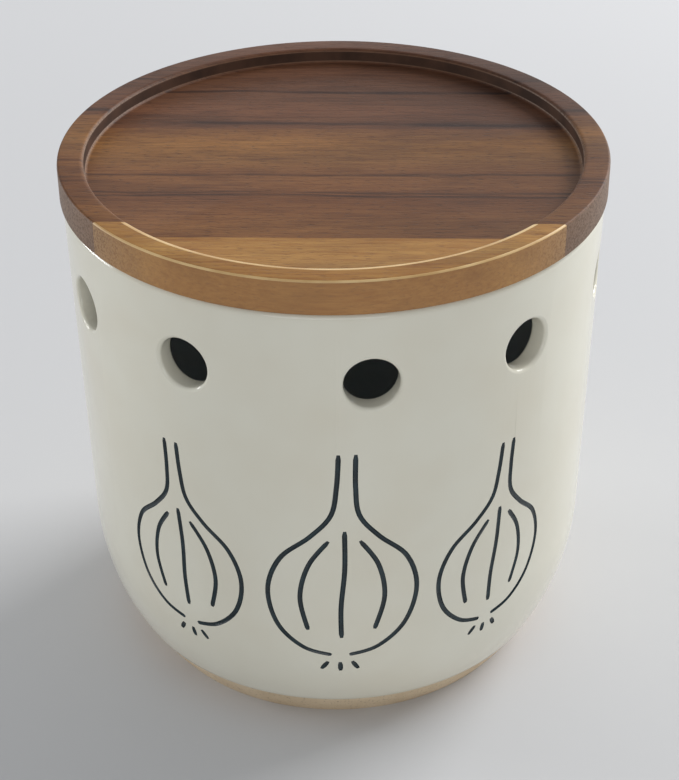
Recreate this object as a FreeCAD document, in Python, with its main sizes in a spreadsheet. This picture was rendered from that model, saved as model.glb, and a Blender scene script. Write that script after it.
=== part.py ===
import FreeCAD, Part

import os
import re

import Sketcher

# Garlic keeper: a stoneware jar with a ring of vent holes under its rim, closed by a
# turned, edge-glued acacia lid whose plug carries a finned silicone ring.
# Millimetres, +Z up. The origin is the centre of the foot, on the surface it stands on.
# -Y is the front, where the grain of the lid runs from side to side.

SIZES = {
    # Jar, outside.
    "jar_height": 120.8,
    "jar_rim_radius": 62.9,
    "wall_foot_radius": 61.5,
    "wall_foot_height": 36.0,
    "foot_radius": 49.9,
    # Jar, inside.
    "jar_wall": 4.6,
    "jar_floor": 6.0,
    "floor_cove": 11.0,
    "rim_bevel": 1.1,
    # Standing ring under the jar.
    "ring_width": 6.0,
    "ring_depth": 1.8,
    "ring_edge": 0.8,
    # Vent holes, in a ring turned a little from the front. They are cut by hand, so the
    # first ones drift, in degrees, from their even places.
    "vent_radius": 6.1,
    "vent_drop": 17.6,
    "vent_bevel": 0.7,
    "vent_ring_turn": 5.5,
    "vent_drift_1": 1.0,
    "vent_drift_2": 2.2,
    "vent_drift_3": -1.3,
    "vent_drift_4": 1.6,
    "vent_drift_5": 0.4,
    # Lid, one turned panel of three staves.
    "lid_overhang": 0.6,
    "lid_thickness": 8.2,
    "lid_arris": 0.6,
    "recess_rim": 6.1,
    "recess_depth": 3.6,
    "recess_arris": 0.4,
    "recess_fillet": 0.9,
    "plug_depth": 9.0,
    "plug_gap": 1.6,
    "plug_bevel": 1.2,
    "glue_line_front": 38.2,
    "glue_line_back": 17.0,
    "grain_turn": -1.7,
    # Silicone ring in the plug's groove.
    "groove_depth": 2.2,
    "groove_height": 5.0,
    "groove_drop": 2.0,
    "seal_side_gap": 0.1,
    "seal_seat_gap": 0.05,
    "seal_mouth_gap": 0.2,
    "fin_length": 1.5,
    "fin_root": 1.4,
    "fin_tip": 0.6,
}
VENTS = 10
FRONT_VENT = 4
FINS = 2
NEAR = 0.05

# Radii and heights that several pieces share, in terms of the sizes.
LEAN = "(jar_rim_radius - wall_foot_radius) / (jar_height - wall_foot_height)"
MOUTH = "(jar_rim_radius - jar_wall)"
RIM_OUT = f"(jar_rim_radius - rim_bevel * {LEAN})"
RIM_IN = f"({MOUTH} - rim_bevel * {LEAN})"
LID_RADIUS = "(jar_rim_radius + lid_overhang)"
LID_TOP = "(jar_height + lid_thickness)"
RECESS_RADIUS = f"({LID_RADIUS} - recess_rim)"
RECESS_FLOOR = f"({LID_TOP} - recess_depth)"
PLUG_RADIUS = f"({MOUTH} - plug_gap)"
PLUG_END = "(jar_height - plug_depth)"
GROOVE_RADIUS = f"({PLUG_RADIUS} - groove_depth)"
GROOVE_TOP = "(jar_height - groove_drop)"
GROOVE_END = f"({GROOVE_TOP} - groove_height)"
VENT_HEIGHT = "(jar_height - vent_drop)"

doc = FreeCAD.newDocument("garlic_keeper")
sheet = doc.addObject("Spreadsheet::Sheet", "sizes")
for row, (alias, size) in enumerate(SIZES.items(), start=1):
    sheet.set(f"A{row}", alias.replace("_", " "))
    sheet.set(f"B{row}", str(size))
    sheet.setAlias(f"B{row}", alias)
doc.recompute()


def bound(expression):
    """The expression with each size read from the sheet."""
    return re.sub(r"\b([a-z]+(?:_[a-z0-9]+)+)\b", r"sizes.\1", expression)


def number(expression):
    """The expression's present value."""
    return float(sheet.evalExpression(bound(expression)))


def new_body(name):
    body = doc.addObject("PartDesign::Body", name)
    body.Label = name
    return body


def new_sketch(body, name, plane):
    """A sketch on one of the body's own origin planes."""
    sketch = body.newObject("Sketcher::SketchObject", name)
    base = next(f for f in body.Origin.OriginFeatures if f.Role == plane)
    sketch.AttachmentSupport = [(base, "")]
    sketch.MapMode = "FlatFace"
    return sketch


def hold(sketch, kind, *where_and_size):
    """Add one dimension, bound to its expression."""
    *where, expression = where_and_size
    index = sketch.addConstraint(Sketcher.Constraint(kind, *where, number(expression)))
    sketch.setExpression(f"Constraints[{index}]", bound(expression))


def hold_point(sketch, edge, end, radius, height):
    """Place one end of an edge by its distances from the sketch's origin."""
    if number(radius) == 0:
        sketch.addConstraint(Sketcher.Constraint("PointOnObject", edge, end, -2))
    else:
        hold(sketch, "DistanceX", -1, 1, edge, end, radius)
    if number(height) == 0:
        sketch.addConstraint(Sketcher.Constraint("PointOnObject", edge, end, -1))
    else:
        hold(sketch, "DistanceY", -1, 1, edge, end, height)


def draw_outline(sketch, corners):
    """Draw a closed outline of straight edges through corners given as expressions."""
    points = [FreeCAD.Vector(number(r), number(z), 0) for r, z in corners]
    count = len(points)
    edges = [sketch.addGeometry(Part.LineSegment(points[i], points[(i + 1) % count]))
             for i in range(count)]
    for i, edge in enumerate(edges):
        sketch.addConstraint(Sketcher.Constraint("Coincident", edge, 2, edges[(i + 1) % count], 1))
    for edge, (radius, height) in zip(edges, corners):
        hold_point(sketch, edge, 1, radius, height)


def revolve(body, sketch):
    """Turn the outline a full turn about the body's vertical axis."""
    turned = body.newObject("PartDesign::Revolution", sketch.Name + "_turned")
    turned.Profile = sketch
    turned.ReferenceAxis = (sketch, ["V_Axis"])
    turned.Angle = 360.0
    doc.recompute()
    return turned


def bevel_edges(body, feature, name, size, edges):
    """Bevel the named edges of a feature by a size from the sheet."""
    bevelled = body.newObject("PartDesign::Chamfer", name)
    bevelled.Base = (feature, edges)
    bevelled.setExpression("Size", bound(size))
    doc.recompute()
    return bevelled


def wall_bend(turn, foot):
    """Centre and radius of the arc that leaves the leaning wall smoothly and meets the foot."""
    inward = FreeCAD.Vector(-1, number(LEAN), 0).normalize()
    chord = foot - turn
    radius = chord.dot(chord) / (2 * chord.dot(inward))
    return turn + inward * radius, radius


def arc_between(start, end, centre, radius):
    """The short arc from start to end about a centre."""
    half = ((start + end) * 0.5 - centre).normalize()
    return Part.Arc(start, centre + half * radius, end)


def draw_jar_section(sketch):
    """Half section of the jar: a leaning wall that curves in to the foot, and its inside."""
    foot_in = "(foot_radius - ring_width)"
    sole_end = "(foot_radius - ring_edge)"
    floor_top = "(ring_depth + jar_floor)"
    wall_in = "(wall_foot_radius - jar_wall)"

    def corner(radius, height):
        return FreeCAD.Vector(number(radius), number(height), 0)

    under = corner("0", "ring_depth")
    ring_top = corner(foot_in, "ring_depth")
    ring_end = corner(foot_in, "0")
    sole = corner(sole_end, "0")
    foot = corner("foot_radius", "ring_edge")
    turn = corner("wall_foot_radius", "wall_foot_height")
    rim = corner(RIM_OUT, "jar_height - rim_bevel")
    crown_out = corner("jar_rim_radius - rim_bevel", "jar_height")
    crown_in = corner(f"{MOUTH} + rim_bevel", "jar_height")
    mouth = corner(RIM_IN, "jar_height - rim_bevel")
    side = corner(wall_in, "wall_foot_height")
    middle = corner("0", floor_top)
    centre, bend = wall_bend(turn, foot)
    inner_bend = (side - centre).Length
    cove = number("floor_cove")
    cove_height = middle.y + cove
    reach = inner_bend - cove
    cove_centre = FreeCAD.Vector(
        centre.x + (reach ** 2 - (centre.y - cove_height) ** 2) ** 0.5, cove_height, 0)
    cove_top = centre + (cove_centre - centre) * (inner_bend / reach)
    landing = FreeCAD.Vector(cove_centre.x, middle.y, 0)
    # An arc runs counter-clockwise, so the inner arc and the cove begin at their lower ends.
    shapes = [
        Part.LineSegment(under, ring_top),
        Part.LineSegment(ring_top, ring_end),
        Part.LineSegment(ring_end, sole),
        Part.LineSegment(sole, foot),
        arc_between(foot, turn, centre, bend),
        Part.LineSegment(turn, rim),
        Part.LineSegment(rim, crown_out),
        Part.LineSegment(crown_out, crown_in),
        Part.LineSegment(crown_in, mouth),
        Part.LineSegment(mouth, side),
        arc_between(cove_top, side, centre, inner_bend),
        arc_between(landing, cove_top, cove_centre, cove),
        Part.LineSegment(landing, middle),
        Part.LineSegment(middle, under),
    ]
    edges = [sketch.addGeometry(shape) for shape in shapes]
    (base, ring_side, ring_sole, ring_bevel, outer_arc, outer_wall, outer_bevel,
     crown, inner_bevel, inner_wall, inner_arc, cove_arc, floor, axis) = edges
    links = [
        ("Coincident", base, 2, ring_side, 1),
        ("Coincident", ring_side, 2, ring_sole, 1),
        ("Coincident", ring_sole, 2, ring_bevel, 1),
        ("Coincident", ring_bevel, 2, outer_arc, 1),
        ("Tangent", outer_arc, 2, outer_wall, 1),
        ("Coincident", outer_wall, 2, outer_bevel, 1),
        ("Coincident", outer_bevel, 2, crown, 1),
        ("Coincident", crown, 2, inner_bevel, 1),
        ("Coincident", inner_bevel, 2, inner_wall, 1),
        ("Coincident", inner_wall, 2, inner_arc, 2),
        ("Coincident", inner_arc, 3, outer_arc, 3),
        ("Tangent", inner_arc, 1, cove_arc, 2),
        ("Tangent", cove_arc, 1, floor, 1),
        ("Coincident", floor, 2, axis, 1),
        ("Coincident", axis, 2, base, 1),
        ("Horizontal", floor),
    ]
    for link in links:
        sketch.addConstraint(Sketcher.Constraint(*link))
    hold_point(sketch, base, 1, "0", "ring_depth")
    hold_point(sketch, ring_side, 1, foot_in, "ring_depth")
    hold_point(sketch, ring_sole, 1, foot_in, "0")
    hold_point(sketch, ring_sole, 2, sole_end, "0")
    hold_point(sketch, ring_bevel, 2, "foot_radius", "ring_edge")
    hold_point(sketch, outer_wall, 1, "wall_foot_radius", "wall_foot_height")
    hold_point(sketch, outer_wall, 2, RIM_OUT, "jar_height - rim_bevel")
    hold_point(sketch, crown, 1, "jar_rim_radius - rim_bevel", "jar_height")
    hold_point(sketch, crown, 2, f"{MOUTH} + rim_bevel", "jar_height")
    hold_point(sketch, inner_wall, 1, RIM_IN, "jar_height - rim_bevel")
    hold_point(sketch, inner_wall, 2, wall_in, "wall_foot_height")
    hold_point(sketch, axis, 1, "0", floor_top)
    hold(sketch, "Radius", cove_arc, "floor_cove")


def vent_edges(feature):
    """Names of the curved edges where the vents break the outside of the wall."""
    low = number(f"{VENT_HEIGHT} - vent_radius") - 1
    high = number(f"{VENT_HEIGHT} + vent_radius") + 1
    middle_of_wall = number("jar_rim_radius - jar_wall / 2")
    return [f"Edge{index}" for index, edge in enumerate(feature.Shape.Edges, start=1)
            if edge.BoundBox.ZMin > low and edge.BoundBox.ZMax < high
            and edge.BoundBox.ZLength > NEAR and not isinstance(edge.Curve, Part.Line)
            and edge.CenterOfMass.cross(FreeCAD.Vector(0, 0, 1)).Length > middle_of_wall]


def vent_turn(index):
    """One vent's turn from the front: its even place in the ring and its own drift."""
    even = f"vent_ring_turn + {index - FRONT_VENT} * {360 / VENTS}"
    drift = f"vent_drift_{index}"
    return f"({even} + {drift})" if drift in SIZES else f"({even})"


def cut_vent(body, index):
    """Cut one round hole level through the wall, turned from the front."""
    sketch = new_sketch(body, f"vent_{index}", "XZ_Plane")
    upright = FreeCAD.Rotation(FreeCAD.Vector(0, 1, 0), 1)
    sketch.AttachmentOffset = FreeCAD.Placement(FreeCAD.Vector(), upright)
    sketch.setExpression("AttachmentOffset.Rotation.Angle", bound(f"{vent_turn(index)} * 1deg"))
    place = FreeCAD.Vector(0, number(VENT_HEIGHT), 0)
    circle = sketch.addGeometry(Part.Circle(place, FreeCAD.Vector(0, 0, 1), number("vent_radius")))
    hold(sketch, "Radius", circle, "vent_radius")
    hold_point(sketch, circle, 3, "0", VENT_HEIGHT)
    before = body.Tip.Shape.Volume
    pocket = body.newObject("PartDesign::Pocket", f"vent_{index}_cut")
    pocket.Profile = sketch
    pocket.Type = "Length"
    pocket.setExpression("Length", bound("jar_rim_radius + jar_wall"))
    pocket.Reversed = True
    doc.recompute()
    assert pocket.Shape.Volume < before, f"vent {index} cuts nothing"
    return pocket


def make_jar():
    body = new_body("jar")
    section = new_sketch(body, "jar_section", "XZ_Plane")
    draw_jar_section(section)
    tip = revolve(body, section)
    for index in range(1, VENTS + 1):
        tip = cut_vent(body, index)
    bevel_edges(body, tip, "jar_vent_bevels", "vent_bevel", vent_edges(tip))
    return body


def turned_lid(body, name):
    """The whole lid as it comes off the lathe: flange, top recess, plug and groove."""
    section = new_sketch(body, name + "_section", "XZ_Plane")
    draw_outline(section, [
        ("0", PLUG_END),
        (f"({PLUG_RADIUS} - plug_bevel)", PLUG_END),
        (PLUG_RADIUS, f"({PLUG_END} + plug_bevel)"),
        (PLUG_RADIUS, GROOVE_END),
        (GROOVE_RADIUS, GROOVE_END),
        (GROOVE_RADIUS, GROOVE_TOP),
        (PLUG_RADIUS, GROOVE_TOP),
        (PLUG_RADIUS, "jar_height"),
        (f"({LID_RADIUS} - lid_arris)", "jar_height"),
        (LID_RADIUS, "(jar_height + lid_arris)"),
        (LID_RADIUS, f"({LID_TOP} - lid_arris)"),
        (f"({LID_RADIUS} - lid_arris)", LID_TOP),
        (f"({RECESS_RADIUS} + recess_arris)", LID_TOP),
        (RECESS_RADIUS, f"({LID_TOP} - recess_arris)"),
        (RECESS_RADIUS, f"({RECESS_FLOOR} + recess_fillet)"),
        (f"({RECESS_RADIUS} - recess_fillet)", RECESS_FLOOR),
        ("0", RECESS_FLOOR),
    ])
    return revolve(body, section)


def saw_off(body, name, near_line, far_line):
    """Cut away what lies between two lines across the grain, right through the lid."""
    sketch = new_sketch(body, name, "XY_Plane")
    beyond = f"({LID_RADIUS} + recess_rim)"
    reach = number(beyond)
    near, far = number(near_line), number(far_line)
    corners = [FreeCAD.Vector(x, y, 0) for x, y in
               ((-reach, near), (reach, near), (reach, far), (-reach, far))]
    edges = [sketch.addGeometry(Part.LineSegment(corners[i], corners[(i + 1) % 4])) for i in range(4)]
    for i in range(4):
        sketch.addConstraint(Sketcher.Constraint("Coincident", edges[i], 2, edges[(i + 1) % 4], 1))
        kind = "Horizontal" if i % 2 == 0 else "Vertical"
        sketch.addConstraint(Sketcher.Constraint(kind, edges[i]))
    hold(sketch, "DistanceX", -1, 1, edges[0], 1, f"-{beyond}")
    hold(sketch, "DistanceX", -1, 1, edges[0], 2, beyond)
    hold(sketch, "DistanceY", -1, 1, edges[0], 1, near_line)
    hold(sketch, "DistanceY", -1, 1, edges[2], 1, far_line)
    before = body.Tip.Shape.Volume
    pocket = body.newObject("PartDesign::Pocket", name + "_cut")
    pocket.Profile = sketch
    pocket.Type = "Length"
    pocket.setExpression("Length", bound(f"{LID_TOP} + plug_depth"))
    pocket.Reversed = True
    doc.recompute()
    assert pocket.Shape.Volume < before, f"{name} cuts nothing"


def make_stave(name, front_line, back_line):
    """One board of the lid: the turned lid between two glue lines."""
    body = new_body(name)
    turned_lid(body, name)
    beyond = f"({LID_RADIUS} + recess_rim)"
    if front_line is not None:
        saw_off(body, name + "_front_face", front_line, f"-{beyond}")
    if back_line is not None:
        saw_off(body, name + "_back_face", back_line, beyond)
    body.Placement = FreeCAD.Placement(FreeCAD.Vector(), FreeCAD.Rotation(FreeCAD.Vector(0, 0, 1), 1))
    body.setExpression("Placement.Rotation.Angle", bound("grain_turn * 1deg"))
    doc.recompute()
    return body


def make_seal():
    """The silicone ring: a flat band in the plug's groove with fins towards the jar."""
    body = new_body("seal_ring")
    section = new_sketch(body, "seal_section", "XZ_Plane")
    inner = f"({GROOVE_RADIUS} + seal_seat_gap)"
    tip_radius = f"({MOUTH} - (groove_drop + groove_height) * {LEAN} - seal_mouth_gap)"
    band = f"({tip_radius} - fin_length)"
    low = f"({GROOVE_END} + seal_side_gap)"
    high = f"({GROOVE_TOP} - seal_side_gap)"
    corners = [(inner, high), (inner, low), (band, low)]
    for fin in range(FINS):
        middle = f"({low} + ({high} - {low}) * {2 * fin + 1} / {2 * FINS})"
        corners += [
            (band, f"({middle} - fin_root / 2)"),
            (tip_radius, f"({middle} - fin_tip / 2)"),
            (tip_radius, f"({middle} + fin_tip / 2)"),
            (band, f"({middle} + fin_root / 2)"),
        ]
    corners.append((band, high))
    draw_outline(section, corners)
    revolve(body, section)
    return body


def check_and_export(bodies):
    """Stop on any failed object or unsound solid, then write each piece."""
    failed = [o.Label for o in doc.Objects if {"Invalid", "Error"} & set(o.State)]
    assert not failed, f"failed objects: {failed}"
    for body in bodies:
        shape = body.Shape
        assert not shape.isNull() and shape.isValid() and len(shape.Solids) == 1, body.Label
    os.makedirs("parts", exist_ok=True)
    for body in bodies:
        body.Shape.exportStep(f"parts/{body.Label}.step")
        box = body.Shape.BoundBox
        print(f"{body.Label}: {body.Shape.Volume / 1000:.1f} cm3, "
              f"{box.XLength:.1f} x {box.YLength:.1f} x {box.ZLength:.1f}, "
              f"z {box.ZMin:.1f} to {box.ZMax:.1f}")


pieces = [
    make_jar(),
    make_stave("lid_stave_front", None, "-glue_line_front"),
    make_stave("lid_stave_middle", "-glue_line_front", "glue_line_back"),
    make_stave("lid_stave_back", "glue_line_back", None),
    make_seal(),
]
doc.recompute()
check_and_export(pieces)
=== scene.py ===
import logging
import math
from dataclasses import dataclass, field
from enum import Enum

import bmesh
import bpy
from mathutils import Matrix, Vector

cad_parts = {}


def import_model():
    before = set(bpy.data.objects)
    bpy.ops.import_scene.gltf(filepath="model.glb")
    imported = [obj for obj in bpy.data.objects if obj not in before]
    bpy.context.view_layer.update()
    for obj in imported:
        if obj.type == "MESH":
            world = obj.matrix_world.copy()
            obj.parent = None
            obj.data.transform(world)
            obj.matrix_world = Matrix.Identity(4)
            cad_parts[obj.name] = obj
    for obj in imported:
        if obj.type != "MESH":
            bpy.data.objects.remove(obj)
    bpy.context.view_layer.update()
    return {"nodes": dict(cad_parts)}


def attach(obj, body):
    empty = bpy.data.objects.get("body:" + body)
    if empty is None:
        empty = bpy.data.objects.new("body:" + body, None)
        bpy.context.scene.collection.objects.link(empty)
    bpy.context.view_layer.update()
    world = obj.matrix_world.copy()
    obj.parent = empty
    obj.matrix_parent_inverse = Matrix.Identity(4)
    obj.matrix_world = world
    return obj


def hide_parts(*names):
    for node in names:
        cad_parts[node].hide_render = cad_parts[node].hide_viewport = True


LOG = logging.getLogger("garlic_keeper")
MM = 0.001
MERGE_GAP = 1e-6
SMOOTH_ANGLE = 34.0
LAMP_AIM = (0.0, 0.0, 0.07)
Corner = tuple[float, float]


class Where(Enum):
    """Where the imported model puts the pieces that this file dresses."""

    JAR = "jar"
    STAVE_FRONT = "lid_stave_front"
    STAVE_MIDDLE = "lid_stave_middle"
    STAVE_BACK = "lid_stave_back"
    SEAL = "seal_ring"


class Coat(Enum):
    """The jar's finishes, by their place in its list."""

    GLAZE = 0
    CLAY = 1
    INK = 2
    LINING = 3


def linear(code: str) -> tuple[float, float, float, float]:
    """Turn an sRGB hex colour into the linear colour that shaders take.

    Args:
        code: Six hex digits.

    Returns:
        Linear red, green, blue and an alpha of one.
    """
    parts = [int(code[i:i + 2], 16) / 255 for i in (0, 2, 4)]
    return (*(c / 12.92 if c <= 0.04045 else ((c + 0.055) / 1.055) ** 2.4 for c in parts), 1.0)


def add_node(tree: bpy.types.NodeTree, kind: str, settings: dict | None = None,
             links: dict | None = None) -> bpy.types.Node:
    """Add one node with its settings, socket values and incoming links.

    Args:
        tree: The node tree.
        kind: The node's type name.
        settings: Attributes of the node to set.
        links: Socket name or index to an output socket, or to a plain value.

    Returns:
        The new node.
    """
    node = tree.nodes.new(kind)
    for name, value in (settings or {}).items():
        setattr(node, name, value)
    for name, value in (links or {}).items():
        if isinstance(value, bpy.types.NodeSocket):
            tree.links.new(value, node.inputs[name])
        else:
            node.inputs[name].default_value = value
    return node


def add_ramp(tree: bpy.types.NodeTree, factor: bpy.types.NodeSocket,
             stops: list[tuple[float, str]]) -> bpy.types.NodeSocket:
    """Add a colour ramp and return its colour output.

    Args:
        tree: The node tree.
        factor: What drives the ramp.
        stops: Positions from 0 to 1 with their hex colours.

    Returns:
        The ramp's colour socket.
    """
    node = add_node(tree, "ShaderNodeValToRGB", links={"Fac": factor})
    ramp = node.color_ramp
    while len(ramp.elements) > 1:
        ramp.elements.remove(ramp.elements[-1])
    ramp.elements[0].position = stops[0][0]
    ramp.elements[0].color = linear(stops[0][1])
    for position, code in stops[1:]:
        ramp.elements.new(position).color = linear(code)
    return node.outputs["Color"]


def new_material(name: str) -> tuple[bpy.types.Material, bpy.types.NodeTree, bpy.types.Node]:
    """Make a node material.

    Args:
        name: The finish's name.

    Returns:
        The material, its tree and its Principled shader.
    """
    material = bpy.data.materials.new(name)
    material.use_nodes = True
    tree = material.node_tree
    return material, tree, tree.nodes["Principled BSDF"]


@dataclass(frozen=True)
class CreamGlaze:
    """Cream gloss glaze fired on stoneware: a smooth glassy coat with faint warmer patches and ripples."""

    name: str = "cream_glaze_fired"
    body: str = "E6E3D3"
    pooled: str = "E2DDCB"
    roughness: float = 0.13

    def make(self) -> bpy.types.Material:
        """Build the finish."""
        material, tree, shader = new_material(self.name)
        place = add_node(tree, "ShaderNodeTexCoord").outputs["Object"]
        # Glaze pools over some 20 mm and ripples over 6 mm.
        pool = add_node(tree, "ShaderNodeTexNoise", links={"Vector": place, "Scale": 50.0, "Detail": 2.0})
        ripple = add_node(tree, "ShaderNodeTexNoise", links={"Vector": place, "Scale": 160.0, "Detail": 1.0})
        tree.links.new(add_ramp(tree, pool.outputs["Fac"], [(0.35, self.body), (0.75, self.pooled)]),
                       shader.inputs["Base Color"])
        bump = add_node(tree, "ShaderNodeBump", links={
            "Height": ripple.outputs["Fac"], "Strength": 0.06, "Distance": 0.3 * MM})
        tree.links.new(bump.outputs["Normal"], shader.inputs["Normal"])
        shader.inputs["Roughness"].default_value = self.roughness
        shader.inputs["IOR"].default_value = 1.5
        return material


@dataclass(frozen=True)
class BareClay:
    """Unglazed stoneware, fired buff: matt and sandy, with fine dark specks."""

    name: str = "buff_stoneware_unglazed"
    clay: str = "DECAAC"
    shade: str = "CFB999"
    speck: str = "8A7460"

    def make(self) -> bpy.types.Material:
        """Build the finish."""
        material, tree, shader = new_material(self.name)
        place = add_node(tree, "ShaderNodeTexCoord").outputs["Object"]
        # Sand grains of about 0.7 mm, drawn a little coarse so that they show, and clouds of 11 mm.
        grit = add_node(tree, "ShaderNodeTexNoise", links={"Vector": place, "Scale": 1500.0, "Detail": 3.0})
        cloud = add_node(tree, "ShaderNodeTexNoise", links={"Vector": place, "Scale": 90.0, "Detail": 3.0})
        base = add_ramp(tree, cloud.outputs["Fac"], [(0.35, self.shade), (0.65, self.clay)])
        grain = add_ramp(tree, grit.outputs["Fac"], [(0.28, self.speck), (0.4, "FFFFFF")])
        mix = add_node(tree, "ShaderNodeMix", {"data_type": "RGBA", "blend_type": "MULTIPLY"},
                       {"Factor": 0.6, 6: base, 7: grain})
        tree.links.new(mix.outputs[2], shader.inputs["Base Color"])
        bump = add_node(tree, "ShaderNodeBump", links={
            "Height": grit.outputs["Fac"], "Strength": 0.35, "Distance": 0.15 * MM})
        tree.links.new(bump.outputs["Normal"], shader.inputs["Normal"])
        shader.inputs["Roughness"].default_value = 0.85
        return material


@dataclass(frozen=True)
class InkGlaze:
    """Black underglaze run into the cut lines and glazed over: dark and glossy, with a blue tint painted in
    for the blue cast of shade.
    """

    name: str = "black_underglaze_in_line_painted_blue_shade"
    # Both colours are black with a painted blue shade tint.
    dark: str = "13242A"
    thin: str = "20343A"

    def make(self) -> bpy.types.Material:
        """Build the finish."""
        material, tree, shader = new_material(self.name)
        place = add_node(tree, "ShaderNodeTexCoord").outputs["Object"]
        # The pigment thins out in patches of about 3 mm.
        patch = add_node(tree, "ShaderNodeTexNoise", links={"Vector": place, "Scale": 300.0, "Detail": 2.0})
        tree.links.new(add_ramp(tree, patch.outputs["Fac"], [(0.4, self.dark), (0.7, self.thin)]),
                       shader.inputs["Base Color"])
        shader.inputs["Roughness"].default_value = 0.22
        return material


@dataclass(frozen=True)
class Silicone:
    """Moulded translucent white silicone: soft sheen, light passes a little way in."""

    name: str = "silicone_moulded_translucent"
    colour: str = "DAD9D2"
    haze: str = "CFCEC6"

    def make(self) -> bpy.types.Material:
        """Build the finish."""
        material, tree, shader = new_material(self.name)
        place = add_node(tree, "ShaderNodeTexCoord").outputs["Object"]
        # Fine mould texture of about 0.45 mm, under a haze of some 17 mm.
        skin = add_node(tree, "ShaderNodeTexNoise", links={"Vector": place, "Scale": 2200.0, "Detail": 2.0})
        bump = add_node(tree, "ShaderNodeBump", links={
            "Height": skin.outputs["Fac"], "Strength": 0.1, "Distance": 0.05 * MM})
        tree.links.new(bump.outputs["Normal"], shader.inputs["Normal"])
        haze = add_node(tree, "ShaderNodeTexNoise", links={"Vector": place, "Scale": 60.0})
        tree.links.new(add_ramp(tree, haze.outputs["Fac"], [(0.3, self.colour), (0.7, self.haze)]),
                       shader.inputs["Base Color"])
        shader.inputs["Roughness"].default_value = 0.42
        shader.inputs["IOR"].default_value = 1.41
        shader.inputs["Subsurface Weight"].default_value = 0.35
        shader.inputs["Subsurface Scale"].default_value = 2.0 * MM
        return material


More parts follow.
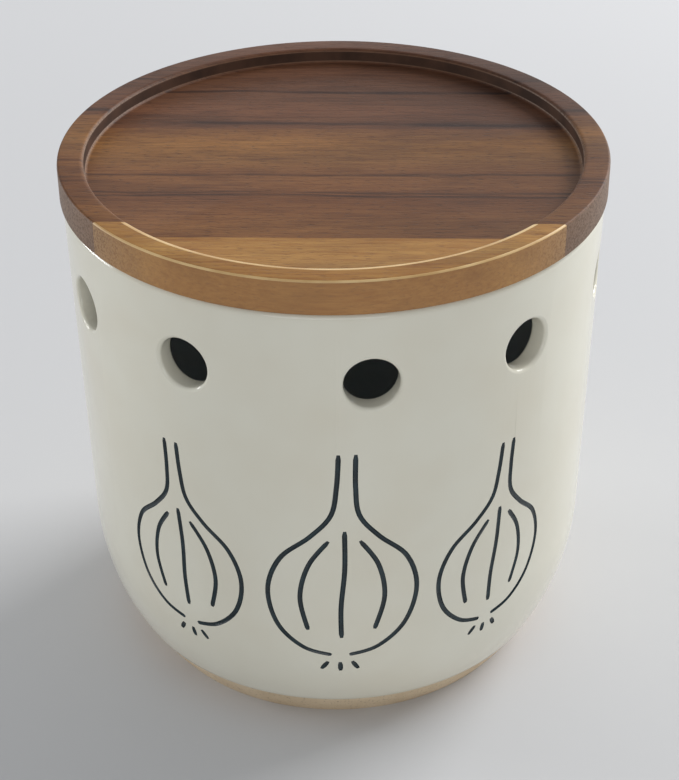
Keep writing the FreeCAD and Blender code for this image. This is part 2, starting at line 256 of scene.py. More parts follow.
@dataclass(frozen=True)
class Acacia:
    """Oiled acacia, sawn along the grain: banded brown heartwood, honey sapwood, open pores.

    The bands follow the growth rings across the panel; each is a distance from the lid's
    centre across the grain, in millimetres, with its colour. A streak is a thin dark line
    in the same way, with its half width.
    """

    name: str
    bands: tuple[tuple[float, str], ...]
    streaks: tuple[Corner, ...] = ()
    streak: str = "86705F"
    pore: str = "3C2618"
    fibre: str = "A9968A"
    end_grain: str = "8A7768"
    end_pore: str = "55463B"
    edge: str = "8A6A50"
    right: str = "6E5A50"
    cloud: str = "8A7468"
    shade: float = 0.0
    turn: float = math.radians(-1.7)
    half: float = 66.0
    waver: float = 2.2

    def make(self) -> bpy.types.Material:
        """Build the finish."""
        material, tree, shader = new_material(self.name)
        place = add_node(tree, "ShaderNodeTexCoord").outputs["Object"]
        # The panel's own frame in millimetres: X along the grain, Y across it.
        turned = add_node(tree, "ShaderNodeMapping", links={
            "Vector": place, "Rotation": (0.0, 0.0, -self.turn), "Scale": (1000.0, 1000.0, 1000.0)})
        grain = turned.outputs["Vector"]
        across = self._across(tree, grain)
        colour = add_ramp(tree, across, [(self._share(y), code) for y, code in self.bands])
        colour = self._mix(tree, self._breaks(tree, grain), colour, self._lines(tree, across), "MULTIPLY")
        fibre, pores = self._fibres(tree, grain)
        colour = self._mix(tree, 0.85, colour, fibre, "MULTIPLY")
        colour = self._mix(tree, self._right(tree, grain), colour, linear(self.right), "MULTIPLY")
        colour = self._mix(tree, self._clouds(tree, grain), colour, linear(self.cloud), "MULTIPLY")
        colour = self._mix(tree, pores, colour, linear(self.pore), "MIX")
        colour = self._end_grain(tree, place, colour)
        tree.links.new(colour, shader.inputs["Base Color"])
        bump = add_node(tree, "ShaderNodeBump", {"invert": True}, {
            "Height": pores, "Strength": 0.45, "Distance": 0.12 * MM})
        tree.links.new(bump.outputs["Normal"], shader.inputs["Normal"])
        shader.inputs["Roughness"].default_value = 0.55
        shader.inputs["IOR"].default_value = 1.36
        return material

    def _share(self, y: float) -> float:
        """A distance across the grain as a place on a ramp, from 0 to 1."""
        return (y + self.half) / (2 * self.half)

    @staticmethod
    def _mix(tree: bpy.types.NodeTree, factor: bpy.types.NodeSocket | float, below: bpy.types.NodeSocket,
             above: bpy.types.NodeSocket | tuple, kind: str) -> bpy.types.NodeSocket:
        """Lay one colour over another and return the outcome."""
        node = add_node(tree, "ShaderNodeMix", {"data_type": "RGBA", "blend_type": kind},
                        {"Factor": factor, 6: below, 7: above})
        return node.outputs[2]

    def _across(self, tree: bpy.types.NodeTree, grain: bpy.types.NodeSocket) -> bpy.types.NodeSocket:
        """The place across the grain on a ramp, wavering slowly along it.

        Args:
            tree: The node tree.
            grain: The panel's own coordinates, in millimetres.

        Returns:
            The place, from 0 to 1.
        """
        slow = add_node(tree, "ShaderNodeMapping", links={"Vector": grain, "Scale": (0.016, 0.05, 0.12)})
        drift = add_node(tree, "ShaderNodeTexNoise", links={
            "Vector": slow.outputs["Vector"], "Scale": 1.0, "Detail": 2.0, "Roughness": 0.45})
        fine = add_node(tree, "ShaderNodeMapping", links={"Vector": grain, "Scale": (0.06, 0.5, 0.5)})
        ripple = add_node(tree, "ShaderNodeTexNoise", links={
            "Vector": fine.outputs["Vector"], "Scale": 1.0, "Detail": 3.0})
        apart = add_node(tree, "ShaderNodeSeparateXYZ", links={"Vector": grain})
        push = add_node(tree, "ShaderNodeMath", {"operation": "MULTIPLY_ADD"},
                        {0: drift.outputs["Fac"], 1: 2 * self.waver, 2: -self.waver})
        nudge = add_node(tree, "ShaderNodeMath", {"operation": "MULTIPLY_ADD"},
                         {0: ripple.outputs["Fac"], 1: 1.8, 2: -0.9})
        moved = add_node(tree, "ShaderNodeMath", {"operation": "ADD"},
                         {0: push.outputs["Value"], 1: nudge.outputs["Value"]})
        across = add_node(tree, "ShaderNodeMath", {"operation": "ADD"},
                          {0: moved.outputs["Value"], 1: apart.outputs["Y"]})
        share = add_node(tree, "ShaderNodeMapRange", links={
            "Value": across.outputs["Value"], "From Min": -self.half, "From Max": self.half})
        return share.outputs["Result"]

    def _lines(self, tree: bpy.types.NodeTree, across: bpy.types.NodeSocket) -> bpy.types.NodeSocket:
        """The thin dark lines, as a colour to multiply with."""
        stops: list[tuple[float, str]] = [(0.0, "FFFFFF")]
        for y, width in sorted(self.streaks):
            stops += [(self._share(y - 2.2 * width), "FFFFFF"), (self._share(y - 0.3 * width), self.streak),
                      (self._share(y + 0.3 * width), self.streak), (self._share(y + 2.2 * width), "FFFFFF")]
        return add_ramp(tree, across, stops)

    @staticmethod
    def _breaks(tree: bpy.types.NodeTree, grain: bpy.types.NodeSocket) -> bpy.types.NodeSocket:
        """How strong the thin lines are along the grain, over some 20 mm."""
        long = add_node(tree, "ShaderNodeMapping", links={"Vector": grain, "Scale": (0.05, 0.25, 0.25)})
        noise = add_node(tree, "ShaderNodeTexNoise", links={
            "Vector": long.outputs["Vector"], "Scale": 1.0, "Detail": 3.0})
        share = add_node(tree, "ShaderNodeMapRange", links={
            "Value": noise.outputs["Fac"], "From Min": 0.3, "From Max": 0.55, "To Min": 0.25, "To Max": 1.0})
        return share.outputs["Result"]

    def _right(self, tree: bpy.types.NodeTree, grain: bpy.types.NodeSocket) -> bpy.types.NodeSocket:
        """How much darker the heartwood grows towards the lid's right side."""
        apart = add_node(tree, "ShaderNodeSeparateXYZ", links={"Vector": grain})
        share = add_node(tree, "ShaderNodeMapRange", {"interpolation_type": "SMOOTHSTEP"}, {
            "Value": apart.outputs["X"], "From Min": -15.0, "From Max": 50.0, "To Max": self.shade})
        return share.outputs["Result"]

    @staticmethod
    def _clouds(tree: bpy.types.NodeTree, grain: bpy.types.NodeSocket) -> bpy.types.NodeSocket:
        """Darker patches, about 40 mm long and 9 mm wide."""
        wide = add_node(tree, "ShaderNodeMapping", links={"Vector": grain, "Scale": (0.025, 0.11, 0.11)})
        noise = add_node(tree, "ShaderNodeTexNoise", links={
            "Vector": wide.outputs["Vector"], "Scale": 1.0, "Detail": 4.0, "Roughness": 0.6})
        share = add_node(tree, "ShaderNodeMapRange", {"interpolation_type": "SMOOTHSTEP"}, {
            "Value": noise.outputs["Fac"], "From Min": 0.42, "From Max": 0.72, "To Max": 0.45})
        return share.outputs["Result"]

    def _fibres(self, tree: bpy.types.NodeTree,
                grain: bpy.types.NodeSocket) -> tuple[bpy.types.NodeSocket, bpy.types.NodeSocket]:
        """Fibre streaks and open pores, both stretched along the grain.

        Args:
            tree: The node tree.
            grain: The panel's own coordinates, in millimetres.

        Returns:
            A colour that darkens the fibres, and a factor that is one in a pore.
        """
        # Fibre bundles about 0.8 mm wide and 12 mm long; pores 0.4 mm wide and 2.5 mm long,
        # drawn a little wider than real ones so that they show.
        long = add_node(tree, "ShaderNodeMapping", links={"Vector": grain, "Scale": (0.08, 1.25, 1.25)})
        bundle = add_node(tree, "ShaderNodeTexNoise", links={
            "Vector": long.outputs["Vector"], "Scale": 1.0, "Detail": 5.0, "Roughness": 0.68})
        fibre = add_ramp(tree, bundle.outputs["Fac"], [(0.28, self.fibre), (0.5, "EAE2DC"), (0.66, "FFFFFF")])
        short = add_node(tree, "ShaderNodeMapping", links={"Vector": grain, "Scale": (0.4, 2.6, 2.6)})
        dashes = add_node(tree, "ShaderNodeTexNoise", links={
            "Vector": short.outputs["Vector"], "Scale": 1.0, "Detail": 2.0, "Roughness": 0.6})
        pores = add_node(tree, "ShaderNodeMapRange", {"interpolation_type": "SMOOTHSTEP"}, {
            "Value": dashes.outputs["Fac"], "From Min": 0.52, "From Max": 0.74, "To Max": 0.75})
        return fibre, pores.outputs["Result"]

    def _end_grain(self, tree: bpy.types.NodeTree, place: bpy.types.NodeSocket,
                   colour: bpy.types.NodeSocket) -> bpy.types.NodeSocket:
        """Grey the faces that cut across the fibres, speckle them and tone the lid's edge.

        Args:
            tree: The node tree.
            place: Object coordinates, in metres.
            colour: The wood's colour along the grain.

        Returns:
            The colour all round.
        """
        facing = add_node(tree, "ShaderNodeNewGeometry").outputs["True Normal"]
        along = add_node(tree, "ShaderNodeSeparateXYZ", links={"Vector": facing})
        size = add_node(tree, "ShaderNodeMath", {"operation": "ABSOLUTE"}, {0: along.outputs["X"]})
        share = add_node(tree, "ShaderNodeMapRange", {"interpolation_type": "SMOOTHSTEP"}, {
            "Value": size.outputs["Value"], "From Min": 0.55, "From Max": 0.9, "To Max": 0.65})
        level = add_node(tree, "ShaderNodeMath", {"operation": "ABSOLUTE"}, {0: along.outputs["Z"]})
        edge = add_node(tree, "ShaderNodeMapRange", {"interpolation_type": "SMOOTHSTEP"}, {
            "Value": level.outputs["Value"], "From Min": 0.3, "From Max": 0.7, "To Min": 0.4, "To Max": 0.0})
        colour = self._mix(tree, edge.outputs["Result"], colour, linear(self.edge), "MIX")
        # Pore ends about 0.5 mm across.
        dots = add_node(tree, "ShaderNodeTexNoise", links={"Vector": place, "Scale": 1900.0, "Detail": 2.0})
        speckle = add_ramp(tree, dots.outputs["Fac"], [(0.35, self.end_pore), (0.55, self.end_grain)])
        return self._mix(tree, share.outputs["Result"], colour, speckle, "MIX")


@dataclass(frozen=True)
class PaintedLightWood:
    """Acacia with light or shade painted in: an arris painted pale and smooth as a painted highlight, or a
    wall painted dark as painted shade.
    """

    name: str
    first: str
    second: str
    roughness: float = 0.4
    ior: float = 1.45

    def make(self) -> bpy.types.Material:
        """Build the finish."""
        material, tree, shader = new_material(self.name)
        place = add_node(tree, "ShaderNodeTexCoord").outputs["Object"]
        # The painted tone comes and goes over some 10 mm.
        mottle = add_node(tree, "ShaderNodeTexNoise", links={"Vector": place, "Scale": 110.0, "Detail": 4.0})
        tree.links.new(add_ramp(tree, mottle.outputs["Fac"], [(0.38, self.first), (0.66, self.second)]),
                       shader.inputs["Base Color"])
        bump = add_node(tree, "ShaderNodeBump", links={
            "Height": mottle.outputs["Fac"], "Strength": 0.1, "Distance": 0.1 * MM})
        tree.links.new(bump.outputs["Normal"], shader.inputs["Normal"])
        shader.inputs["Roughness"].default_value = self.roughness
        shader.inputs["IOR"].default_value = self.ior
        return material


def deselect() -> None:
    """Leave nothing selected and no object in edit mode."""
    if bpy.context.object and bpy.context.object.mode != "OBJECT":
        bpy.ops.object.mode_set(mode="OBJECT")
    bpy.ops.object.select_all(action="DESELECT")


def make_active(piece: bpy.types.Object) -> None:
    """Select one object alone and make it the active one."""
    deselect()
    piece.select_set(True)
    bpy.context.view_layer.objects.active = piece


def apply_all(piece: bpy.types.Object) -> None:
    """Apply every modifier of a piece, in order."""
    make_active(piece)
    for modifier in list(piece.modifiers):
        bpy.ops.object.modifier_apply(modifier=modifier.name)


def tidy_mesh(piece: bpy.types.Object) -> None:
    """Merge doubled points and turn every face of a closed mesh outwards."""
    make_active(piece)
    bpy.ops.object.mode_set(mode="EDIT")
    bpy.ops.mesh.select_all(action="SELECT")
    bpy.ops.mesh.remove_doubles(threshold=MERGE_GAP)
    bpy.ops.mesh.normals_make_consistent(inside=False)
    bpy.ops.object.mode_set(mode="OBJECT")


def smooth(piece: bpy.types.Object, angle: float = SMOOTH_ANGLE) -> None:
    """Shade a piece smooth, but for edges sharper than an angle in degrees."""
    make_active(piece)
    bpy.ops.object.shade_smooth_by_angle(angle=math.radians(angle))


def rounded(corners: list[tuple], steps: int = 6) -> list[Corner]:
    """Work out an outline with its corners rounded.

    Args:
        corners: Points of (radius, height) or (radius, height, rounding), in millimetres.
        steps: Chords in each rounded corner.

    Returns:
        The outline's points, in millimetres.
    """
    out: list[Corner] = []
    count = len(corners)
    for i, corner in enumerate(corners):
        here = Vector(corner[:2])
        if len(corner) < 3:
            out.append((here.x, here.y))
            continue
        back = (Vector(corners[i - 1][:2]) - here).normalized()
        ahead = (Vector(corners[(i + 1) % count][:2]) - here).normalized()
        half = math.acos(max(-1.0, min(1.0, back.dot(ahead)))) / 2
        reach = corner[2] / math.tan(half)
        centre = here + (back + ahead).normalized() * (corner[2] / math.sin(half))
        first = here + back * reach - centre
        last = here + ahead * reach - centre
        sweep = first.angle_signed(last)
        for step in range(steps + 1):
            turn = Matrix.Rotation(-sweep * step / steps, 2)
            point = centre + turn @ first
            out.append((point.x, point.y))
    return out


def spin_outline(name: str, outline: list[Corner], steps: int) -> bpy.types.Object:
    """Spin a closed half section about the Z axis into a solid of revolution.

    Args:
        name: The piece's name.
        outline: The section's points of (radius, height), in millimetres.
        steps: Sides round the full turn.

    Returns:
        The new object, at the origin.
    """
    deselect()
    bpy.ops.mesh.primitive_plane_add(size=MM, location=(0, 0, 0))
    piece = bpy.context.object
    piece.name = name
    make_active(piece)
    bpy.ops.object.mode_set(mode="EDIT")
    mesh = bmesh.from_edit_mesh(piece.data)
    bmesh.ops.delete(mesh, geom=list(mesh.verts), context="VERTS")
    points = [mesh.verts.new((0.0, -radius * MM, height * MM)) for radius, height in outline]
    closed = [(points[i], points[(i + 1) % len(points)]) for i in range(len(points))]
    for start, end in closed:
        if not (start.co.y == 0.0 and end.co.y == 0.0):
            mesh.edges.new((start, end))
    bmesh.update_edit_mesh(piece.data)
    bpy.ops.mesh.select_all(action="SELECT")
    bpy.ops.mesh.spin(steps=steps, angle=2 * math.pi, center=(0, 0, 0), axis=(0, 0, 1), dupli=False)
    bpy.ops.object.mode_set(mode="OBJECT")
    tidy_mesh(piece)
    return piece


def even_curve(points: tuple[Corner, ...], step: float = 0.9) -> list[Corner]:
    """A smooth curve through points, cut into even steps.

    Args:
        points: The points that it passes.
        step: Length of a step, in millimetres.

    Returns:
        The curve's points.
    """
    ends = [points[0], *points, points[-1]]
    fine: list[Vector] = []
    for i in range(1, len(ends) - 2):
        a, b, c, d = (Vector(ends[i + k]) for k in (-1, 0, 1, 2))
        for k in range(24):
            t = k / 24
            fine.append(0.5 * (2 * b + (c - a) * t + (2 * a - 5 * b + 4 * c - d) * t ** 2
                               + (3 * b - a - 3 * c + d) * t ** 3))
    fine.append(Vector(points[-1]))
    out = [fine[0]]
    for point in fine[1:]:
        if (point - out[-1]).length >= step:
            out.append(point)
    if (fine[-1] - out[-1]).length > step / 2:
        out.append(fine[-1])
    return [(point.x, point.y) for point in out]


# Strokes of one drawn garlic bulb, in millimetres from the middle of its base. Each is
# also drawn mirrored, unless it starts on the middle line.
BULB: tuple[tuple[Corner, ...], ...] = (
    ((1.7, 54.0), (1.9, 46.0), (2.9, 39.0), (7.0, 33.5), (13.0, 27.5),
     (15.6, 19.0), (13.6, 10.0), (8.0, 3.8), (1.9, 1.6)),
    ((3.2, 32.5), (7.2, 26.0), (8.8, 17.5), (7.0, 8.8)),
    ((0.0, 35.0), (0.3, 25.0), (-0.2, 15.0), (0.1, 6.5)),
    ((2.6, -0.6), (4.2, -3.4)),
    ((0.0, -0.8), (0.2, -4.2)),
)


@dataclass
class Jar:
    """The stoneware jar: a leaning wall with a rounded rim, ten vents and a bare foot."""

    height: float = 120.8
    rim_radius: float = 62.9
    foot_radius: float = 49.9
    bend: Corner = (61.5, 36.0)
    wall: float = 4.6
    floor: float = 7.8
    cove: float = 11.0
    rim_round: float = 1.8
    ring: Corner = (43.9, 1.8)
    foot_bevel: float = 0.8
    glaze_line: float = 8.0
    glaze_depth: float = 0.25
    glaze_roll: float = 0.28
    vent_radius: float = 6.1
    vent_round: float = 0.9
    vent_height: float = 103.2
    vent_turns: tuple[float, ...] = (
        -101.5, -64.3, -31.8, 7.1, 41.9, 77.5, 113.5, 149.5, 185.5, 221.5)
    sides: int = 256
    line_radius: float = 0.7
    line_lift: float = 0.33
    line_end: float = 0.72
    bulbs: tuple[tuple[float, float, float, float], ...] = (
        (-37.0, 28.5, 0.98, -0.04), (0.5, 26.0, 1.1, 0.03), (37.0, 29.0, 0.94, 0.08))
    glaze: CreamGlaze = field(default_factory=CreamGlaze)
    # The inside glaze is white with a cool blue tint painted in, standing in for the blue cast of the shade
    # inside the jar.
    lining: CreamGlaze = field(default_factory=lambda: CreamGlaze(
        "white_glaze_inside_painted_blue_shade", "D0D7D8", "CAD3D5"))
    clay: BareClay = field(default_factory=BareClay)
    ink: InkGlaze = field(default_factory=InkGlaze)

    @property
    def lean(self) -> float:
        """How far the wall leans out for each millimetre up."""
        return (self.rim_radius - self.bend[0]) / (self.height - self.bend[1])

    def arc(self) -> tuple[Vector, float]:
        """Centre and radius of the arc from the foot into the leaning wall."""
        turn = Vector(self.bend)
        chord = Vector((self.foot_radius, self.foot_bevel)) - turn
        inward = Vector((-1.0, self.lean)).normalized()
        radius = chord.dot(chord) / (2 * chord.dot(inward))
        return turn + inward * radius, radius

    def outside(self, height: float) -> float:
        """The outer radius at a height, in millimetres."""
        if height >= self.bend[1]:
            return self.bend[0] + (height - self.bend[1]) * self.lean
        centre, radius = self.arc()
        return centre.x + math.sqrt(radius ** 2 - (height - centre.y) ** 2)

    def outline(self) -> list[Corner]:
        """The jar's half section, from the middle of its underside round to its floor."""
        centre, radius = self.arc()
        inner = radius - self.wall
        mouth = self.rim_radius - self.wall
        clay = [self.foot_bevel + (self.glaze_line - self.foot_bevel) * i / 8 for i in range(9)]
        low = self.glaze_line + self.glaze_roll
        glazed = [low + (self.bend[1] - self.glaze_line - self.glaze_roll) * i / 22 for i in range(23)]
        reach = inner - self.cove
        high = self.floor + self.cove
        turn = Vector((centre.x + math.sqrt(reach ** 2 - (centre.y - high) ** 2), high))
        landing = math.atan2(turn.y - centre.y, turn.x - centre.x)
        start = math.atan2(self.bend[1] - centre.y, self.bend[0] - self.wall - centre.x)
        sweep = [start + (landing - start) * i / 16 for i in range(17)]
        corner = [landing + (-math.pi / 2 - landing) * i / 12 for i in range(1, 13)]
        return rounded([
            (0.0, self.ring[1]),
            (self.ring[0], self.ring[1], 0.5),
            (self.ring[0], 0.0, 0.7),
            (self.foot_radius - self.foot_bevel, 0.0),
            *[(self.outside(z) - self.glaze_depth, z) for z in clay],
            (self.outside(self.glaze_line + 0.05) - 0.08, self.glaze_line + 0.05),
            *[(self.outside(z), z) for z in glazed],
            (self.rim_radius, self.height, self.rim_round),
            (mouth, self.height, self.rim_round),
            *[(centre.x + inner * math.cos(a), centre.y + inner * math.sin(a)) for a in sweep],
            *[(turn.x + self.cove * math.cos(a), turn.y + self.cove * math.sin(a)) for a in corner],
            (0.0, self.floor),
        ])

    def vent_cutter(self, turn: float) -> bpy.types.Object:
        """A plug that cuts one vent and rounds its edges inside and outside.

        Args:
            turn: Angle from the front, in degrees, positive to the right.

        Returns:
            The cutter, in its place.
        """
        flare = self.vent_round
        curl = [math.radians(8 + 82 * i / 6) for i in range(7)]
        out = [(self.vent_radius + flare - flare * math.sin(a), -flare + flare * math.cos(a)) for a in curl]
        inside = [(radius, -self.wall - depth) for radius, depth in reversed(out)]
        wide = out[0][0] + 0.25
        cutter = spin_outline("vent_cutter", [
            (0.0, 2.2), (wide, 2.2), *out, *inside, (wide, -self.wall - 2.2), (0.0, -self.wall - 2.2)], 72)
        outer = self.outside(self.vent_height)
        angle = math.radians(turn)
        radial = Vector((math.sin(angle), -math.cos(angle), 0.0))
        across = Vector((math.cos(angle), math.sin(angle), 0.0))
        for point in cutter.data.vertices:
            side, up, depth = (value / MM for value in point.co)
            radius = outer if depth > -self.wall / 2 else outer - self.wall
            depth += up * self.lean - (radius - math.sqrt(radius ** 2 - side ** 2))
            spot = radial * (outer + depth) + across * side
            point.co = (spot.x * MM, spot.y * MM, (self.vent_height + up) * MM)
        return cutter

    def draw(self, ink: bpy.types.Material) -> list[bpy.types.Object]:
        """Tools for the ornament: one rounded tool for each stroke of the drawn bulbs.

        Args:
            ink: The finish that the strokes leave in the wall.

        Returns:
            The tools, in their places.
        """
        tools = []
        for across, base, scale, tilt in self.bulbs:
            for side, stroke in [(side, stroke) for stroke in BULB for side in (-1, 1)]:
                if side < 0 and stroke[0][0] == 0:
                    continue
                leaning = [(side * x * scale + tilt * z * scale, z * scale) for x, z in even_curve(stroke)]
                tools.append(self.stroke_tool([(across + x, base + z) for x, z in leaning], ink))
        return tools

    def stroke_tool(self, path: list[Corner], ink: bpy.types.Material) -> bpy.types.Object:
        """A rounded bar that follows the wall just above its face.

        Args:
            path: Points of (distance round the wall from the front, height), in millimetres.
            ink: The finish that it leaves in the wall.

        Returns:
            The bar, in its place.
        """
        curve = bpy.data.curves.new("stroke", "CURVE")
        curve.dimensions = "3D"
        curve.bevel_depth = self.line_radius * MM
        curve.bevel_resolution = 3
        curve.use_fill_caps = True
        spline = curve.splines.new("POLY")
        spline.points.add(len(path) - 1)
        for i, (point, (across, height)) in enumerate(zip(spline.points, path)):
            radius = self.outside(height) + self.line_lift
            angle = across / self.bend[0]
            point.co = (radius * math.sin(angle) * MM, -radius * math.cos(angle) * MM, height * MM, 1.0)
            point.radius = self.line_end if i in (0, len(path) - 1) else 1.0
        tool = bpy.data.objects.new("stroke", curve)
        bpy.context.collection.objects.link(tool)
        make_active(tool)
        bpy.ops.object.convert(target="MESH")
        tool = bpy.context.object
        tool.data.materials.append(ink)
        return tool

    def build(self) -> bpy.types.Object:
        """Model and dress the jar.

        Returns:
            The finished jar.
        """
        jar = spin_outline("jar", self.outline(), self.sides)
        ink = self.ink.make()
        for finish in (self.glaze.make(), self.clay.make(), ink, self.lining.make()):
            jar.data.materials.append(finish)
        self.paint(jar)
        self.cut(jar, [self.vent_cutter(turn) for turn in self.vent_turns])
        self.cut(jar, self.draw(ink))
        smooth(jar)
        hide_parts(Where.JAR.value)
        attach(jar, "jar")
        LOG.info("jar: %d faces", len(jar.data.polygons))
        return jar

    @staticmethod
    def cut(jar: bpy.types.Object, cutters: list[bpy.types.Object]) -> None:
        """Take cutters out of the jar and drop them.

        Args:
            jar: The jar.
            cutters: Closed solids that don't touch one another.
        """
        make_active(cutters[0])
        for cutter in cutters:
            cutter.select_set(True)
        bpy.ops.object.join()
        tool = bpy.context.object
        tidy_mesh(tool)
        make_active(jar)
        modifier = jar.modifiers.new("cut", "BOOLEAN")
        modifier.operation = "DIFFERENCE"
        modifier.solver = "EXACT"
        modifier.object = tool
        modifier.material_mode = "TRANSFER"
        apply_all(jar)
        bpy.data.objects.remove(tool)

    def paint(self, jar: bpy.types.Object) -> None:
        """Bare clay below the glaze line, and the white glaze with its painted blue shade tint on the inside.
        """
        for face in jar.data.polygons:
            centre = face.center / MM
            radius = Vector((centre.x, centre.y)).length
            inside = centre.z > self.floor - 0.1 and radius < self.outside(centre.z) - self.wall + 0.6
            if inside and centre.z < self.height - self.rim_round:
                face.material_index = Coat.LINING.value
            elif centre.z < self.glaze_line + 0.04:
                face.material_index = Coat.CLAY.value


@dataclass
class Lid:
    """The turned acacia lid: three glued staves with a shallow recess and a plug."""

    radius: float = 63.48
    bottom: float = 120.8
    top: float = 129.0
    recess: Corner = (57.4, 125.4)
    plug: Corner = (56.7, 111.8)
    groove: tuple[float, float, float] = (54.5, 113.8, 118.8)
    turn: float = math.radians(-1.7)
    joints: Corner = (-38.2, 17.0)
    sides: int = 256
    pale_strip: float = 1.35
    # Painted highlight: the front stave's rounded arrises along the rim's top, and a strip beside the inner
    # one, are painted pale where the light glints on them.
    edge: PaintedLightWood = field(default_factory=lambda: PaintedLightWood(
        "acacia_sapwood_arris_painted_highlight", "E6C48C", "CBA268"))
    # Painted shade: the heartwood staves' recess wall is painted dark where shade falls on it.
    wall: PaintedLightWood = field(default_factory=lambda: PaintedLightWood(
        "acacia_recess_wall_painted_shade", "50382B", "3A2920", 0.75, 1.3))

    def outline(self) -> list[Corner]:
        """The lid's half section, from the recess out, down and back under the plug."""
        floor, (foot, low, high) = self.recess[1], self.groove
        return rounded([
            (0.0, floor),
            (self.recess[0], floor, 0.8),
            (self.recess[0], self.top, 1.0),
            # This point ends the strip beside the inner arris that is painted pale as a painted highlight.
            (self.recess[0] + self.pale_strip, self.top),
            (self.radius, self.top, 0.6),
            (self.radius, self.bottom, 0.6),
            (self.plug[0], self.bottom),
            (self.plug[0], high, 0.25),
            (foot, high),
            (foot, low),
            (self.plug[0], low, 0.25),
            (self.plug[0], self.plug[1], 1.1),
            (0.0, self.plug[1]),
        ], 5)

    def saw(self, piece: bpy.types.Object, offset: float, keep_front: bool) -> None:
        """Saw a piece along a glue line and close the cut.

        Args:
            piece: What is sawn.
            offset: The glue line's distance behind the lid's centre, in millimetres.
            keep_front: Whether the part in front of the line stays.
        """
        normal = (-math.sin(self.turn), math.cos(self.turn), 0.0)
        make_active(piece)
        bpy.ops.object.mode_set(mode="EDIT")
        bpy.ops.mesh.select_all(action="SELECT")
        bpy.ops.mesh.bisect(
            plane_co=[offset * MM * value for value in normal], plane_no=normal,
            use_fill=True, clear_outer=keep_front, clear_inner=not keep_front)
        bpy.ops.object.mode_set(mode="OBJECT")

    def paint_light_marks(self, piece: bpy.types.Object, highlighted: bool) -> None:
        """Give the places where light or shade is painted their own finish.

        Args:
            piece: A stave whose second finish is the painted light one.
            highlighted: Whether those are the painted highlight on the roundings along the rim's top and the
                strip beside the inner one, rather than the painted shade on the recess wall.
        """
        for face in piece.data.polygons:
            radius = Vector((face.center.x, face.center.y)).length / MM
            height = face.center.z / MM
            # The roundings and the strip beside the inner arris carry the painted highlight; the upright
            # recess wall carries the painted shade.
            rounding = 0.2 < face.normal.z < 0.985 and height > self.top - 0.7
            beside = height > self.top - 0.1 and radius < self.recess[0] + self.pale_strip
            arris = rounding or beside
            upright = abs(face.normal.z) < 0.4
            wall = upright and radius < self.recess[0] + 0.5 and height > self.recess[1]
            if (arris and highlighted) or (wall and not highlighted):
                face.material_index = 1

    def stave(self, where: Where, finish: Acacia, back: float | None,
              front: float | None) -> bpy.types.Object:
        """Model and dress one stave.

        Args:
            where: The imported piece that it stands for.
            finish: Its wood.
            back: The glue line behind it, or None at the lid's edge.
            front: The glue line in front of it, or None at the lid's edge.

        Returns:
            The finished stave.
        """
        piece = spin_outline(where.value, self.outline(), self.sides)
        if back is not None:
            self.saw(piece, back, True)
        if front is not None:
            self.saw(piece, front, False)
        tidy_mesh(piece)
        piece.data.materials.append(finish.make())
        # The front stave gets the painted highlight; the heartwood staves get the painted shade on the recess
        # wall.
        painted_light_finish = self.edge if where is Where.STAVE_FRONT else self.wall
        piece.data.materials.append(painted_light_finish.make())
        self.paint_light_marks(piece, where is Where.STAVE_FRONT)
        smooth(piece)
        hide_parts(where.value)
        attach(piece, "lid")
        LOG.info("%s: %d faces", where.value, len(piece.data.polygons))
        return piece

    def build(self) -> list[bpy.types.Object]:
        """Model and dress the three staves."""
        front, back = self.joints
        sap = Acacia(
            "acacia_sapwood_oiled",
            ((-66.0, "AE7E40"), (-55.0, "A87A3D"), (-50.0, "B98D4B"), (-44.0, "B78846"), (-37.0, "B08143")),
            pore="7A5430", fibre="C9A982", end_grain="A08768", edge="C0936A")
        heart = Acacia(
            "acacia_heartwood_oiled",
            ((-40.0, "80542C"), (-34.0, "8B5D30"), (-28.0, "84562D"), (-20.0, "744825"), (-12.0, "875930"),
             (-6.0, "82552D"), (0.0, "8A5F32"), (8.0, "986934"), (14.0, "885B30"), (17.5, "7A4F2D")),
            streaks=((-18.2, 0.32), (-16.4, 0.25), (-7.6, 0.32)), shade=0.25)
        dark = Acacia(
            "acacia_heartwood_dark_oiled",
            ((15.0, "774D2F"), (22.0, "6D452A"), (27.0, "7A4F33"), (33.0, "6A442B"), (44.0, "67422A"),
             (54.0, "6C462F"), (66.0, "704A34")),
            streaks=((19.6, 0.8), (38.5, 0.4)), shade=0.45)
        return [
            self.stave(Where.STAVE_FRONT, sap, front, None),
            self.stave(Where.STAVE_MIDDLE, heart, back, front),
            self.stave(Where.STAVE_BACK, dark, None, back),
        ]


@dataclass
class SealRing:
    """The silicone ring in the plug's groove, with two fins towards the jar's mouth."""

    inner: float = 54.55
    low: float = 113.9
    high: float = 118.7
    band: float = 56.48
    tip: float = 57.98
    root: float = 1.4
    point: float = 0.6
    fins: int = 2
    soft: float = 0.2
    sides: int = 192
    finish: Silicone = field(default_factory=Silicone)

    def build(self) -> bpy.types.Object:
        """Model and dress the ring."""
        corners: list[tuple] = [
            (self.inner, self.high, self.soft),
            (self.inner, self.low, self.soft),
            (self.band, self.low, self.soft),
        ]
        for fin in range(self.fins):
            middle = self.low + (self.high - self.low) * (2 * fin + 1) / (2 * self.fins)
            corners += [
                (self.band, middle - self.root / 2, self.soft),
                (self.tip, middle - self.point / 2, 0.25),
                (self.tip, middle + self.point / 2, 0.25),
                (self.band, middle + self.root / 2, self.soft),
            ]
        corners.append((self.band, self.high, self.soft))
        piece = spin_outline("seal_ring", rounded(corners, 3), self.sides)
        piece.data.materials.append(self.finish.make())
        smooth(piece, 40)
        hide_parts(Where.SEAL.value)
        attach(piece, "lid")
        return piece


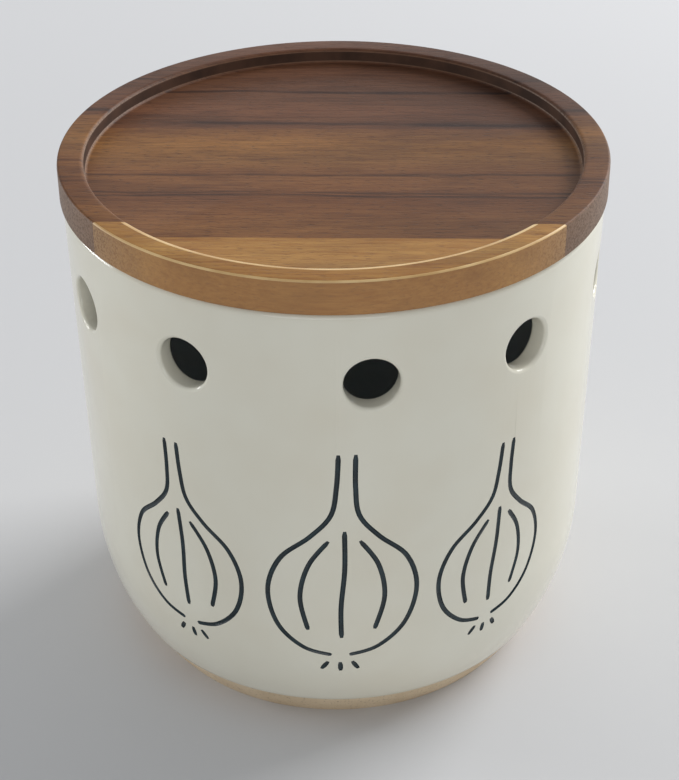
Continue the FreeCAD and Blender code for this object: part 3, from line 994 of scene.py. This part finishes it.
@dataclass
class Studio:
    """The camera, the soft lights and the pale floor."""

    eye: tuple[float, float, float] = (0.0, -0.38935, 0.31339)
    pitch: float = 0.5735
    yaw: float = 0.0024
    roll: float = -0.0078
    lens: float = 85.43
    paper: str = "CFCFD0"
    air: str = "EAEEF3"
    air_strength: float = 0.45

    def camera(self) -> None:
        """Place the camera where the photograph was taken from."""
        deselect()
        bpy.ops.object.camera_add(location=self.eye)
        camera = bpy.context.object
        turns = (Matrix.Rotation(-self.yaw, 3, "Z"), Matrix.Rotation(math.pi / 2 - self.pitch, 3, "X"),
                 Matrix.Rotation(self.roll, 3, "Z"))
        camera.rotation_euler = (turns[0] @ turns[1] @ turns[2]).to_euler()
        camera.data.lens = self.lens
        camera.data.sensor_width = 36.0
        camera.data.sensor_fit = "AUTO"
        camera.data.clip_start = 0.01
        bpy.context.scene.camera = camera

    def floor(self) -> None:
        """Lay a pale matt floor under everything."""
        deselect()
        bpy.ops.mesh.primitive_plane_add(size=6.0, location=(0, 0, 0))
        ground = bpy.context.object
        ground.name = "floor"
        material, _, shader = new_material("pale_paper")
        shader.inputs["Base Color"].default_value = linear(self.paper)
        shader.inputs["Roughness"].default_value = 0.9
        shader.inputs["Specular IOR Level"].default_value = 0.1
        ground.data.materials.append(material)

    @staticmethod
    def lamp(name: str, spot: tuple, size: Corner, watts: float) -> None:
        """Hang one soft lamp that faces the middle of the object.

        Args:
            name: Its name.
            spot: Where it hangs, in metres.
            size: Width and height of the soft box, in metres.
            watts: Its power.
        """
        deselect()
        bpy.ops.object.light_add(type="AREA", location=spot)
        lamp = bpy.context.object
        lamp.name = name
        lamp.data.shape = "RECTANGLE"
        lamp.data.size, lamp.data.size_y = size
        lamp.data.energy = watts
        lamp.rotation_euler = (Vector(LAMP_AIM) - Vector(spot)).to_track_quat("-Z", "Y").to_euler()

    def world(self) -> None:
        """Fill the room with even pale light."""
        world = bpy.data.worlds.new("room")
        world.use_nodes = True
        world.node_tree.nodes["Background"].inputs["Color"].default_value = linear(self.air)
        world.node_tree.nodes["Background"].inputs["Strength"].default_value = self.air_strength
        bpy.context.scene.world = world

    def build(self) -> None:
        """Set the whole studio up."""
        self.camera()
        self.floor()
        self.world()
        self.lamp("right_back", (1.4, 1.0, 1.0), (1.26, 0.84), 40.0)
        self.lamp("left_low", (-1.2, 0.4, 0.24), (0.5, 0.24), 5.0)
        self.lamp("back_strip", (0.1, 1.4, 0.5), (1.4, 0.3), 2.5)
        self.lamp("front_fill", (-0.1, -1.5, 0.55), (1.4, 0.6), 4.5)
        bpy.context.scene.view_settings.view_transform = "Standard"


def main() -> None:
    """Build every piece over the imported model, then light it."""
    logging.basicConfig(level=logging.INFO)
    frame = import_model()
    missing = [where.value for where in Where if where.value not in frame["nodes"]]
    if missing:
        raise ValueError(f"the packed model lacks {missing}")
    Jar().build()
    Lid().build()
    SealRing().build()
    Studio().build()


if __name__ == "__main__":
    main()
